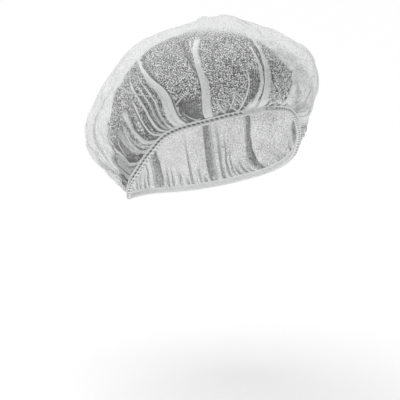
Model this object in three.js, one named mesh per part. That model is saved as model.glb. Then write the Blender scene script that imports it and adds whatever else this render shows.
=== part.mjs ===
// Disposable gathered hair cap, as worn: a puffed crown of thin nonwoven cloth
// drawn in by a flat elastic band that climbs from the nape to the forehead.
// Millimetres, +Z up. The wearer looks along -Y, and the wearer's left is +X.
// The origin is the middle of the opening that the head goes into.
import * as THREE from "three";

// Opening, measured to the middle of the elastic band
const openingWidth = 158;
const openingFront = 93;
const openingBack = 84;
const foreheadRise = 51;
const napeDrop = 49;
const templeStandOff = 8;

// Crown envelope
const capWidth = 202;
const capLength = 238;
const crownRise = 129;
const leanLeft = 13;
const leanForward = 10;
const clothWall = 1;

// Elastic band and the hem that stands against its upper half
const bandHeight = 5;
const bandThickness = 1.4;
const seatGap = 0.3;
const hemHeight = 3;
const hemLap = 0.5;

// Folds of the cloth
const gatherCount = 36;
const gatherDepth = 2;
const foldSweep = 50;
const pleatWidth = 12;
const pleatHeight = 3.5;
const dentDepth = 6;
const dentSpan = 30;

// Turns rows of numbers into records with named columns
function table(columns, rows) {
  return rows.map((row) => Object.fromEntries(columns.map((name, k) => [name, row[k]])));
}

// Route of the band. Angle in degrees from the forehead towards the wearer's left,
// height as a share of the climb from nape to forehead, standOff as a share of templeStandOff.
const rimRoute = table(["angle", "height", "standOff"], [
  [0, 1.0, 0],
  [24, 0.94, 0.1],
  [38, 0.81, 0.5],
  [52, 0.64, 0.9],
  [66, 0.44, 1],
  [90, 0.24, 0.5],
  [108, 0.15, -0.6],
  [125, 0.09, -1.4],
  [145, 0.04, -1.5],
  [162, 0.01, -0.7],
  [180, 0, -0.1],
  [198, 0.01, -0.7],
  [215, 0.04, -1.5],
  [235, 0.07, -1.5],
  [248, 0.11, -1.1],
  [258, 0.17, -0.45],
  [269, 0.31, 0.1],
  [276, 0.42, 0.1],
  [286, 0.58, 0.1],
  [297, 0.74, 0],
  [308, 0.825, 0],
  [322, 0.89, 0],
  [338, 0.955, 0],
]);

const sectors = ["front", "frontLeft", "left", "backLeft", "back", "backRight", "right", "frontRight"];
const sectorStep = 360 / sectors.length;

// How far the folds swing round towards the nape, as shares of foldSweep:
// early on their way over the bag, and late on the dome
const fan = table(["angle", "early", "late"], [
  [0, -0.02, -0.12],
  [12, -0.06, -0.12],
  [30, 0.04, 0.2],
  [45, 0.16, 0.4],
  [66, 0.42, 0.44],
  [92, 0.54, 0.4],
  [130, 0.28, 0.36],
  [150, 0.12, 0.2],
  [172, 0.02, 0.04],
  [190, -0.04, -0.16],
  [214, -0.12, -0.36],
  [245, -0.28, -0.4],
  [257, -0.44, -0.4],
  [270, -0.58, -0.4],
  [282, -0.66, -0.4],
  [293, -0.62, -0.44],
  [303, -0.38, -0.64],
  [314, -0.24, -0.86],
  [328, -0.08, -0.5],
  [348, 0, -0.12],
]);

// Lower part of the crown, above the hem. Rise as a share of the height from hem to top,
// each sector as a share of the way out from the band to the envelope.
const bag = table(["rise", ...sectors], [
  [0, 0, 0, 0, 0, 0, 0, 0, 0],
  [0.03, 0.17, 0.35, 0.03, 0.12, 0.05, 0.16, 0.03, 0.15],
  [0.1, 0.4, 0.44, 0.04, 0.36, 0.17, 0.46, 0.2, 0.38],
  [0.22, 0.58, 0.5, 0.2, 0.71, 0.66, 0.93, 0.53, 0.62],
  [0.34, 0.61, 0.6, 0.55, 0.96, 0.98, 1.12, 0.76, 0.73],
]);

// Upper part of the crown. Each sector as a share of the reach at the top of the bag.
const dome = table(["rise", ...sectors], [
  [0.46, 0.985, 0.985, 1.04, 1.005, 1.005, 0.97, 1.01, 0.99],
  [0.58, 0.93, 0.935, 0.99, 0.97, 0.965, 0.92, 0.98, 0.955],
  [0.7, 0.83, 0.835, 0.9, 0.895, 0.884, 0.835, 0.9, 0.87],
  [0.81, 0.67, 0.64, 0.74, 0.77, 0.755, 0.715, 0.77, 0.73],
  [0.9, 0.485, 0.45, 0.52, 0.555, 0.54, 0.51, 0.55, 0.53],
  [0.96, 0.27, 0.25, 0.28, 0.3, 0.29, 0.28, 0.3, 0.29],
  [0.99, 0.13, 0.12, 0.13, 0.14, 0.135, 0.13, 0.14, 0.135],
  [1, 0, 0, 0, 0, 0, 0, 0, 0],
]);
const crownRows = [...bag, ...dome];
const lastRow = crownRows.length;

// Broad folded pleats that fan out from the band. Foot in degrees round the band,
// bottom and top as shares of the way from band to crown top,
// width and height as shares of pleatWidth and pleatHeight.
const pleats = table(["foot", "bottom", "top", "width", "height"], [
  [315, 0.1, 0.74, 1.1, 1],
  [327.5, 0.06, 0.8, 1, 0.9],
  [347.5, 0.12, 0.74, 0.7, 0.8],
  [355, 0.1, 0.8, 1.1, 1],
  [10, 0.1, 0.8, 1, 0.8],
  [302.5, 0.06, 0.6, 0.7, 0.8],
  [292.5, 0.04, 0.55, 1.2, 1],
  [282.5, 0.12, 0.5, 0.9, -0.9],
  [272.5, 0.06, 0.5, 1, 0.8],
  [257.5, 0.06, 0.45, 1, 0.7],
  [37.5, 0.06, 0.7, 1, 0.9],
  [60, 0.05, 0.65, 1.1, 1],
  [92.5, 0.04, 0.55, 1.1, 0.9],
  [130, 0.04, 0.6, 1.2, 1],
  [172.5, 0.04, 0.65, 1.2, 1],
  [215, 0.04, 0.6, 1.1, 0.9],
]);

// Soft dents and bulges of the loose cloth. Span and depth as shares of dentSpan and
// dentDepth, a negative depth is a bulge.
const dents = table(["angle", "climb", "span", "depth"], [
  [236, 0.37, 0.9, -0.9],
  [222, 0.22, 0.8, 0.7],
  [248, 0.27, 0.7, 0.6],
  [250, 0.56, 1, -0.4],
  [8, 0.66, 0.9, 0.9],
  [28, 0.6, 0.8, -0.2],
  [30, 0.42, 0.7, 0.4],
  [352, 0.86, 0.8, -0.7],
  [330, 0.5, 1.2, 0.4],
  [286, 0.8, 1.1, 0.4],
  [110, 0.5, 1.1, 0.6],
  [150, 0.42, 1, -0.6],
  [190, 0.56, 1.2, 0.7],
]);

function smooth(low, high, x) {
  const t = THREE.MathUtils.clamp((x - low) / (high - low), 0, 1);
  return t * t * (3 - 2 * t);
}

function wrapDegrees(angle) {
  return ((angle % 360) + 540) % 360 - 180;
}

function cubic(before, from, to, after, t) {
  const bend = 2 * before - 5 * from + 4 * to - after;
  const twist = 3 * from - before - 3 * to + after;
  return from + 0.5 * t * (to - before + t * (bend + t * twist));
}

// Value of a table's column at any angle, on a smooth closed curve through its rows
function columnValue(rows, column, angle) {
  const turn = ((angle % 360) + 360) % 360;
  const count = rows.length;
  let k = count - 1;
  while (rows[k].angle > turn) k -= 1;
  const at = (i) => {
    const lap = Math.floor(i / count);
    const row = rows[i - lap * count];
    return { angle: row.angle + 360 * lap, value: row[column] };
  };
  const slope = (i) => (at(i + 1).value - at(i - 1).value) / (at(i + 1).angle - at(i - 1).angle);
  const from = at(k);
  const to = at(k + 1);
  const width = to.angle - from.angle;
  const t = (turn - from.angle) / width;
  const start = (2 * t ** 3 - 3 * t ** 2 + 1) * from.value + (t ** 3 - 2 * t ** 2 + t) * width * slope(k);
  const end = (3 * t ** 2 - 2 * t ** 3) * to.value + (t ** 3 - t ** 2) * width * slope(k + 1);
  return start + end;
}

// Share of a profile row at any angle, on a smooth closed curve through the sectors
function sectorValue(row, angle) {
  const place = (((angle % 360) + 360) % 360) / sectorStep;
  const k = Math.floor(place);
  const at = (i) => row[sectors[(i + sectors.length) % sectors.length]];
  return cubic(at(k - 1), at(k), at(k + 1), at(k + 2), place - k);
}

function ellipseReach(halfWidth, halfLength, angle) {
  const turn = THREE.MathUtils.degToRad(angle);
  return 1 / Math.hypot(Math.sin(turn) / halfWidth, Math.cos(turn) / halfLength);
}

function rimReach(angle) {
  const half = Math.cos(THREE.MathUtils.degToRad(angle)) > 0 ? openingFront : openingBack;
  return ellipseReach(openingWidth / 2, half, angle) + templeStandOff * columnValue(rimRoute, "standOff", angle);
}

function rimHeight(angle) {
  return -napeDrop + (foreheadRise + napeDrop) * columnValue(rimRoute, "height", angle);
}

// Point at a reach and height, with the crown leaning as it rises
function place(angle, reach, height, rise) {
  const turn = THREE.MathUtils.degToRad(angle);
  return new THREE.Vector3(
    reach * Math.sin(turn) + leanLeft * rise,
    -reach * Math.cos(turn) - leanForward * rise,
    height,
  );
}

function rimPoint(angle) {
  return place(angle, rimReach(angle), rimHeight(angle), 0);
}

// Directions at the band: along it, out of the cloth, and up across the band
function rimFrame(angle) {
  const along = rimPoint(angle + 1).sub(rimPoint(angle - 1)).normalize();
  const outward = new THREE.Vector3(along.y, -along.x, 0).normalize();
  const across = new THREE.Vector3().crossVectors(outward, along).normalize();
  return { outward, across };
}

// Reach and height of the crown's smooth form in one row: row 0 is the band,
// and the profile's rows follow from the top of the hem.
function rowPlace(index, angle) {
  const rim = rimReach(angle);
  const low = rimHeight(angle);
  if (index <= 0) return { reach: rim, height: low, rise: 0 };
  const row = crownRows[Math.min(index, lastRow) - 1];
  const hemTop = low + hemHeight;
  const height = hemTop + (crownRise - hemTop) * row.rise;
  const envelope = ellipseReach(capWidth / 2, capLength / 2, angle);
  const bagReach = (share) => rim + (envelope - rim) * share;
  if (index <= bag.length) return { reach: bagReach(sectorValue(row, angle)), height, rise: row.rise };
  const shoulder = bagReach(sectorValue(bag[bag.length - 1], angle));
  return { reach: shoulder * sectorValue(row, angle), height, rise: row.rise };
}

// Crown's smooth form: climb 0 at the band, 1 at the crown top
function form(angle, climb) {
  const step = climb * lastRow;
  const k = Math.min(Math.floor(step), lastRow - 1);
  const rows = [k - 1, k, k + 1, k + 2].map((index) => rowPlace(index, angle));
  const between = (key) => cubic(...rows.map((row) => row[key]), step - k);
  return place(angle, between("reach"), between("height"), between("rise"));
}

// Angle that a fold has reached on its way up, from the place of its foot on the band
function foldAngle(foot, climb) {
  const early = columnValue(fan, "early", foot) * smooth(0, 0.45, climb);
  const late = columnValue(fan, "late", foot) * smooth(0.35, 0.85, climb);
  return foot + foldSweep * (early + late);
}

// Even gathers, deepest just above the hem, all of them standing out from the smooth form
function gatherLift(foot, climb) {
  const turn = THREE.MathUtils.degToRad(foot);
  const uneven = 0.75 + 0.25 * Math.sin(turn * 7 + 1);
  const fade = smooth(1 / lastRow, 0.2, climb) * (1 - smooth(0.3, 0.72, climb));
  return gatherDepth * uneven * fade * (1 + Math.cos(turn * gatherCount));
}

function pleatLift(foot, climb, reach) {
  let lift = 0;
  for (const pleat of pleats) {
    const turn = wrapDegrees(foldAngle(foot, climb) - foldAngle(pleat.foot, climb));
    const aside = THREE.MathUtils.degToRad(turn) * reach;
    const across = Math.max(0, 1 - Math.abs(aside) / (pleatWidth * pleat.width / 2));
    const ends = smooth(pleat.bottom, pleat.bottom + 0.1, climb) * (1 - smooth(pleat.top - 0.2, pleat.top, climb));
    lift += pleatHeight * pleat.height * ends * across * across * (3 - 2 * across);
  }
  return lift;
}

function dentLift(angle, climb, reach) {
  const climbLength = capLength / 2;
  let lift = 0;
  for (const dent of dents) {
    const aside = THREE.MathUtils.degToRad(wrapDegrees(angle - dent.angle)) * reach;
    const above = (climb - dent.climb) * climbLength;
    const far = Math.hypot(aside, above) / (dentSpan * dent.span);
    lift -= dentDepth * dent.depth * Math.exp(-2 * far * far);
  }
  return lift * smooth(0.12, 0.3, climb);
}

function formNormal(angle, climb) {
  const side = 1;
  const step = 0.02;
  const up = Math.min(climb + step, 0.995);
  const down = Math.max(climb - step, 0);
  const along = form(angle + side, climb).sub(form(angle - side, climb));
  const rising = form(angle, up).sub(form(angle, down));
  return along.cross(rising).normalize();
}

// Middle of the cloth, with its folds, held clear of the band's outer face at the hem
function cloth(foot, climb) {
  const angle = foldAngle(foot, climb);
  const point = form(angle, climb);
  const reach = Math.hypot(point.x, point.y);
  const lift = gatherLift(foot, climb) + pleatLift(foot, climb, reach) + dentLift(angle, climb, reach);
  point.addScaledVector(formNormal(angle, climb), lift);
  const { outward, across } = rimFrame(angle);
  const held = 1 - smooth(0.3, 0.7, climb);
  const atHem = 1 - smooth(0, 1 / lastRow, climb);
  point.addScaledVector(outward, (bandThickness / 2 + seatGap + clothWall / 2) * held);
  return point.addScaledVector(across, -hemLap * atHem);
}

// Rings of the crown from hem to top: profile row, and how many columns the ring has
const fineColumns = gatherCount * 4;
const rings = [
  ...[0, 1, 1.5, 2, 2.5, 3, 3.5, 4, 4.5, 5, 5.5, 6, 6.5].map((row) => ({ row, columns: fineColumns })),
  ...[7, 8, 9, 10].map((row) => ({ row, columns: fineColumns / 2 })),
  ...[11, 12].map((row) => ({ row, columns: fineColumns / 4 })),
];

// Outer and inner points of one ring of the crown's wall
function wallRing(ring) {
  const climb = ring.row / lastRow;
  const step = 0.5 / lastRow;
  const outer = [];
  const inner = [];
  for (let k = 0; k < ring.columns; k += 1) {
    const foot = (360 * k) / ring.columns;
    const side = 360 / ring.columns;
    const along = cloth(foot + side, climb).sub(cloth(foot - side, climb));
    const rising = cloth(foot, climb + step).sub(cloth(foot, Math.max(climb - step, 0)));
    const normal = along.cross(rising).normalize();
    if (ring.row <= 1) normal.copy(rimFrame(foldAngle(foot, climb)).outward);
    const middle = cloth(foot, climb);
    outer.push(middle.clone().addScaledVector(normal, clothWall / 2));
    inner.push(middle.clone().addScaledVector(normal, -clothWall / 2));
  }
  return { outer, inner };
}

// A closed mesh from points and triangles of point numbers
function solid(points, triangles) {
  const geometry = new THREE.BufferGeometry();
  geometry.setAttribute("position", new THREE.Float32BufferAttribute(points.flatMap((p) => [p.x, p.y, p.z]), 3));
  geometry.setIndex(triangles);
  geometry.computeVertexNormals();
  return geometry;
}

// Triangles between a ring and the next one above, which has as many columns or half as many
function stitch(low, high, turnedIn) {
  const triangles = [];
  const ratio = low.length / high.length;
  const add = (a, b, c) => triangles.push(...(turnedIn ? [a, c, b] : [a, b, c]));
  for (let k = 0; k < high.length; k += 1) {
    const next = (k + 1) % high.length;
    const first = k * ratio;
    if (ratio === 1) {
      add(low[first], low[next], high[next]);
      add(low[first], high[next], high[k]);
    } else {
      const last = (first + 2) % low.length;
      add(low[first], low[first + 1], high[k]);
      add(low[first + 1], high[next], high[k]);
      add(low[first + 1], low[last], high[next]);
    }
  }
  return triangles;
}

function crownGeometry() {
  const points = [];
  const triangles = [];
  const number = (list) => list.map((point) => points.push(point) - 1);
  const walls = rings.map((ring) => {
    const { outer, inner } = wallRing(ring);
    return { outer: number(outer), inner: number(inner) };
  });
  for (let k = 0; k + 1 < walls.length; k += 1) {
    triangles.push(...stitch(walls[k].outer, walls[k + 1].outer, false));
    triangles.push(...stitch(walls[k].inner, walls[k + 1].inner, true));
  }
  const hem = walls[0];
  triangles.push(...stitch(hem.inner, hem.outer, false));
  const top = cloth(0, 1);
  const [topOut, topIn] = number([
    top.clone().add(new THREE.Vector3(0, 0, clothWall / 2)),
    top.clone().add(new THREE.Vector3(0, 0, -clothWall / 2)),
  ]);
  const last = walls[walls.length - 1];
  for (let k = 0; k < last.outer.length; k += 1) {
    const next = (k + 1) % last.outer.length;
    triangles.push(last.outer[k], last.outer[next], topOut);
    triangles.push(last.inner[next], last.inner[k], topIn);
  }
  return solid(points, triangles);
}

// Flat elastic loop with rounded edges, standing on edge along the rim
function bandGeometry() {
  const halfHeight = bandHeight / 2;
  const halfThickness = bandThickness / 2;
  const shoulder = halfHeight - halfThickness;
  const section = [
    [halfThickness, -shoulder],
    [halfThickness, shoulder],
    [0, halfHeight],
    [-halfThickness, shoulder],
    [-halfThickness, -shoulder],
    [0, -halfHeight],
  ];
  const points = [];
  const triangles = [];
  const loops = [];
  for (let k = 0; k < fineColumns; k += 1) {
    const angle = (360 * k) / fineColumns;
    const { outward, across } = rimFrame(angle);
    const middle = rimPoint(angle);
    const corner = ([out, up]) => middle.clone().addScaledVector(outward, out).addScaledVector(across, up);
    loops.push(section.map((step) => points.push(corner(step)) - 1));
  }
  for (let k = 0; k < section.length; k += 1) {
    const low = loops.map((loop) => loop[k]);
    const high = loops.map((loop) => loop[(k + 1) % section.length]);
    triangles.push(...stitch(low, high, false));
  }
  return solid(points, triangles);
}

const nonwoven = new THREE.MeshStandardMaterial({ color: 0xeeeff0, roughness: 0.75, metalness: 0 });
const elastic = new THREE.MeshStandardMaterial({ color: 0xe4e4e2, roughness: 0.85, metalness: 0 });

const crown = new THREE.Mesh(crownGeometry(), nonwoven);
crown.name = "crown";
const band = new THREE.Mesh(bandGeometry(), elastic);
band.name = "elastic_band";

const hairnet = new THREE.Group();
hairnet.add(crown, band);

export default hairnet;
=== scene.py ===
import math

import bpy
import numpy as np
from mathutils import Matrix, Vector, noise


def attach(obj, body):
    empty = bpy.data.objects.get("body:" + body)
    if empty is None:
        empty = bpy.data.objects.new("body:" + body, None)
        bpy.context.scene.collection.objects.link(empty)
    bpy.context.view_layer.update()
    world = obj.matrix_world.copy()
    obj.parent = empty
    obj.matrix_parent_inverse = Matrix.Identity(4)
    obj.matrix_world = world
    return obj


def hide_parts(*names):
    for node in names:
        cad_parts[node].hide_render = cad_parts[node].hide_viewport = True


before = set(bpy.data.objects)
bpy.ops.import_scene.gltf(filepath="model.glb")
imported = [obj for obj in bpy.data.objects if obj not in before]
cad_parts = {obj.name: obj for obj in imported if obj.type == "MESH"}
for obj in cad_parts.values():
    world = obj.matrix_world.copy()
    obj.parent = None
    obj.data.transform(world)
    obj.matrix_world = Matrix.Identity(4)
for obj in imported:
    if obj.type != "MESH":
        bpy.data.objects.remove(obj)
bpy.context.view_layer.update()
mm = 0.001

# Elastic band
# The band is a flat woven elastic, about 5 mm wide, sewn round the edge of the cap while
# stretched. Let go, it draws the hem cloth round it into tight puckers between two ridges.

# Opening, measured to the middle of the band
opening_width = 158 * mm
opening_front = 93 * mm
opening_back = 84 * mm
forehead_rise = 51 * mm
nape_drop = 49 * mm
temple_stand_off = 8 * mm

# Route of the band: angle in degrees from the front round by the left, height as a share of the
# climb from nape to forehead, stand-off as a share of temple_stand_off
rim_columns = ["angle", "height", "stand_off"]
rim_route = [
    [0, 1.0, 0],
    [24, 0.94, 0.1],
    [38, 0.81, 0.5],
    [52, 0.64, 0.9],
    [66, 0.44, 1],
    [90, 0.24, 0.5],
    [108, 0.15, -0.6],
    [125, 0.09, -1.4],
    [145, 0.04, -1.5],
    [162, 0.01, -0.7],
    [180, 0, -0.1],
    [198, 0.01, -0.7],
    [215, 0.04, -1.5],
    [235, 0.07, -1.5],
    [248, 0.11, -1.1],
    [258, 0.17, -0.45],
    [269, 0.31, 0.1],
    [276, 0.42, 0.1],
    [286, 0.58, 0.1],
    [297, 0.74, 0],
    [308, 0.825, 0],
    [322, 0.89, 0],
    [338, 0.955, 0],
]


def smooth(low, high, x):
    t = np.clip((x - low) / (high - low), 0, 1)
    return t * t * (3 - 2 * t)


def column_of(names, rows, name):
    return np.array([row[names.index(name)] for row in rows], float)


def round_curve(angles, values, angle):
    """Value at any angle on a smooth closed curve through the given angles and values."""
    knots = np.concatenate([angles[-2:] - 360, angles, angles[:2] + 360])
    heights = np.concatenate([values[-2:], values, values[:2]])
    slopes = np.zeros(len(knots))
    slopes[1:-1] = (heights[2:] - heights[:-2]) / (knots[2:] - knots[:-2])
    turn = np.mod(angle, 360)
    k = np.searchsorted(knots, turn, side="right") - 1
    width = knots[k + 1] - knots[k]
    t = (turn - knots[k]) / width
    start = (2 * t**3 - 3 * t**2 + 1) * heights[k] + (t**3 - 2 * t**2 + t) * width * slopes[k]
    return start + (3 * t**2 - 2 * t**3) * heights[k + 1] + (t**3 - t**2) * width * slopes[k + 1]


def rim_value(name, angle):
    angles = column_of(rim_columns, rim_route, "angle")
    return round_curve(angles, column_of(rim_columns, rim_route, name), angle)


def ellipse_reach(half_width, half_length, angle):
    turn = np.radians(angle)
    return 1 / np.hypot(np.sin(turn) / half_width, np.cos(turn) / half_length)


def rim_reach(angle):
    half_length = np.where(np.cos(np.radians(angle)) > 0, opening_front, opening_back)
    stand_off = temple_stand_off * rim_value("stand_off", angle)
    return ellipse_reach(opening_width / 2, half_length, angle) + stand_off


def rim_height(angle):
    return -nape_drop + (forehead_rise + nape_drop) * rim_value("height", angle)


def unit(vectors):
    return vectors / np.linalg.norm(vectors, axis=-1, keepdims=True)


def rim_point(angle):
    turn = np.radians(angle)
    reach = rim_reach(angle)
    return np.stack([reach * np.sin(turn), -reach * np.cos(turn), rim_height(angle)], axis=-1)


def rim_frame(angle):
    """Directions at the band: along it, out of the cloth, and up across the band."""
    along = unit(rim_point(angle + 1) - rim_point(angle - 1))
    outward = unit(np.stack([along[..., 1], -along[..., 0], np.zeros_like(along[..., 0])], axis=-1))
    across = unit(np.cross(outward, along))
    return along, outward, across


def even_angles(count):
    """Angles of count points at even distances along the band, and the band's length."""
    angles = np.linspace(0, 360, 1441)
    points = rim_point(angles)
    run = np.concatenate([[0], np.cumsum(np.linalg.norm(np.diff(points, axis=0), axis=1))])
    return np.interp(np.arange(count) / count * run[-1], run, angles), run[-1]


def mesh_object(name, points, faces, material):
    mesh = bpy.data.meshes.new(name)
    mesh.from_pydata(points.reshape(-1, 3).tolist(), [], faces)
    mesh.polygons.foreach_set("use_smooth", [True] * len(mesh.polygons))
    mesh.materials.append(material)
    piece = bpy.data.objects.new(name, mesh)
    bpy.context.collection.objects.link(piece)
    return piece


def paint(piece, name, values):
    """Stores one number for each point of a piece, for its material to read."""
    layer = piece.data.attributes.new(name, "FLOAT", "POINT")
    layer.data.foreach_set("value", np.asarray(values, np.float32).ravel())


def new_material(name):
    material = bpy.data.materials.new(name)
    material.use_nodes = True
    material.node_tree.nodes.clear()
    return material, material.node_tree.nodes, material.node_tree.links


def read_attribute(nodes, name):
    reader = nodes.new("ShaderNodeAttribute")
    reader.attribute_name = name
    return reader.outputs["Fac"]


def number_node(nodes, links, operation, *values):
    node = nodes.new("ShaderNodeMath")
    node.operation = operation
    for socket, value in zip(node.inputs, values):
        if isinstance(value, (int, float)):
            socket.default_value = value
        else:
            links.new(value, socket)
    return node.outputs[0]


def ramp_node(nodes, links, value, stops):
    node = nodes.new("ShaderNodeValToRGB")
    node.color_ramp.elements[0].position = stops[0][0]
    node.color_ramp.elements[0].color = (*stops[0][1], 1)
    node.color_ramp.elements[1].position = stops[-1][0]
    node.color_ramp.elements[1].color = (*stops[-1][1], 1)
    for place, colour in stops[1:-1]:
        node.color_ramp.elements.new(place).color = (*colour, 1)
    links.new(value, node.inputs["Fac"])
    return node.outputs["Color"]


def grain_node(nodes, links, height, strength, depth):
    """Fine relief of a surface, worked out from a height."""
    node = nodes.new("ShaderNodeBump")
    node.inputs["Strength"].default_value = strength
    node.inputs["Distance"].default_value = depth
    links.new(height, node.inputs["Height"])
    return node


def dry_surface(nodes, links, colour, grain, roughness, sheen):
    node = nodes.new("ShaderNodeBsdfPrincipled")
    node.inputs["Roughness"].default_value = roughness
    node.inputs["Sheen Weight"].default_value = sheen
    links.new(colour, node.inputs["Base Color"])
    links.new(grain.outputs["Normal"], node.inputs["Normal"])
    return node.outputs["BSDF"]


def end_material(nodes, links, shader):
    links.new(shader, nodes.new("ShaderNodeOutputMaterial").inputs["Surface"])


def noise_at(places):
    return np.array([noise.noise(Vector(place)) for place in places])


# Girth for which puckers and gathers are counted; the band's own loop is 3 % longer
nominal_girth = 560 * mm

# Puckers of the hem round the band
band_height = 6.2 * mm
band_back = 0.8 * mm
band_front = 2.8 * mm
pucker_pitch = 4.2 * mm
pucker_depth = 0.9 * mm
pucker_slant = 0.55
pucker_drift = 0.35
pucker_count = round(nominal_girth / pucker_pitch)
steps_in_pucker = 10
band_wave = 0.25 * mm
fibre_scale = 900

# Round the band's section: share of the half height, share of the half thickness
band_section = [
    [-1, 0],
    [-0.94, 0.75],
    [-0.72, 1.05],
    [-0.45, 0.85],
    [-0.2, 0.55],
    [0.1, 0.5],
    [0.4, 0.7],
    [0.66, 1.1],
    [0.9, 0.9],
    [1, 0],
    [0.9, -0.8],
    [0.45, -1],
    [-0.45, -1],
    [-0.9, -0.8],
]


def elastic_material():
    material, nodes, links = new_material("elastic_band")
    place = nodes.new("ShaderNodeTexCoord").outputs["Object"]
    fibre = nodes.new("ShaderNodeTexNoise")
    fibre.inputs["Scale"].default_value = fibre_scale
    fibre.inputs["Detail"].default_value = 3
    links.new(place, fibre.inputs["Vector"])
    # The colour carries painted shade: dark in the groove, between the puckers and along the lower
    # edge
    painted_ridge_light = read_attribute(nodes, "painted_ridge_light")
    shade = number_node(nodes, links, "MULTIPLY_ADD", fibre.outputs["Fac"], 0.25, painted_ridge_light)
    colour = ramp_node(nodes, links, shade, [
        (0.3, (0.04, 0.04, 0.042)),
        (0.65, (0.4, 0.4, 0.405)),
        (0.95, (0.95, 0.955, 0.96)),
    ])
    grain = grain_node(nodes, links, fibre.outputs["Fac"], 0.5, 0.2 * mm)
    end_material(nodes, links, dry_surface(nodes, links, colour, grain, roughness=0.85, sheen=0.2))
    return material


def pucker_shift(turns):
    """How far the puckers stray from even spacing, in puckers."""
    return pucker_drift * noise_at((turn * 0.37, 4.1, 0) for turn in turns)


def make_band():
    angles = even_angles(pucker_count * steps_in_pucker)[0]
    outward, across = rim_frame(angles)[1:]
    middle = rim_point(angles)
    up = np.array([row[0] for row in band_section])
    out = np.array([row[1] for row in band_section])
    turn = np.arange(len(angles)) / steps_in_pucker
    phase = turn[:, None] + pucker_slant * up[None, :] + pucker_shift(turn)[:, None]
    crest = np.abs(np.sin(np.pi * phase)) ** 0.6
    front = (out > 0).astype(float)
    groove = 1 - np.clip(np.abs(up - 0.1) / 0.46, 0, 1) ** 2
    sink = pucker_depth * (1 - crest) * (0.3 + 0.7 * front) * (0.25 + 0.75 * groove)
    wave = band_wave * noise_at((t * 0.21, 9.7, 0) for t in turn)
    lift = out[None, :] * np.where(out > 0, band_front, band_back) - sink * np.where(out > 0, 1, -1)
    rise = up[None, :] * band_height / 2 + wave[:, None]
    points = middle[:, None] + outward[:, None] * lift[..., None]
    points += across[:, None] * rise[..., None]
    rows, columns = points.shape[:2]
    number = np.arange(rows * columns).reshape(rows, columns)
    near, far = number, np.roll(number, -1, axis=0)
    faces = np.stack([near, far, np.roll(far, -1, axis=1), np.roll(near, -1, axis=1)], axis=-1)
    piece = mesh_object("band_puckers", points, faces.reshape(-1, 4).tolist(), elastic_material())
    # Painted shade in the band's colour: the groove, the hollows between puckers and the lower
    # edge, where the band's shadow falls
    edge = np.clip((np.abs(up) - 0.86) / 0.1, 0, 1)
    painted_shade_mask = np.maximum(groove, edge * (up < 0))
    painted_ridge_light = 1.0 - (0.5 + 0.5 * front) * painted_shade_mask * (0.25 + 0.75 * (1 - crest) ** 0.5)
    paint(piece, "painted_ridge_light", painted_ridge_light)
    return piece


band_piece = make_band()
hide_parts("elastic_band")
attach(band_piece, "root")

# Band stitches
# The elastic is sewn on with white polyester thread: one stitch across the puckers at every
# crest outside, and a zigzag on the inner face.
outer_stitch_length = 3.4 * mm
inner_stitch_length = 4.4 * mm
inner_stitch_pitch = 2.1 * mm
thread_radius = 0.24 * mm
stitch_sag = 0.4 * mm
stitch_sides = 6
stitch_steps = 5
shortest_stitch = 0.9
longest_stitch = 1.05
twist_scale = 2500
round_steps = 7200


def thread_material():
    material, nodes, links = new_material("stitch_thread")
    place = nodes.new("ShaderNodeTexCoord").outputs["Object"]
    twist = nodes.new("ShaderNodeTexNoise")
    twist.inputs["Scale"].default_value = twist_scale
    links.new(place, twist.inputs["Vector"])
    colour = ramp_node(nodes, links, twist.outputs["Fac"], [
        (0.35, (0.7, 0.7, 0.7)),
        (0.6, (0.93, 0.93, 0.92)),
    ])
    grain = grain_node(nodes, links, twist.outputs["Fac"], 0.4, 0.05 * mm)
    end_material(nodes, links, dry_surface(nodes, links, colour, grain, roughness=0.5, sheen=0))
    return material


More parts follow.
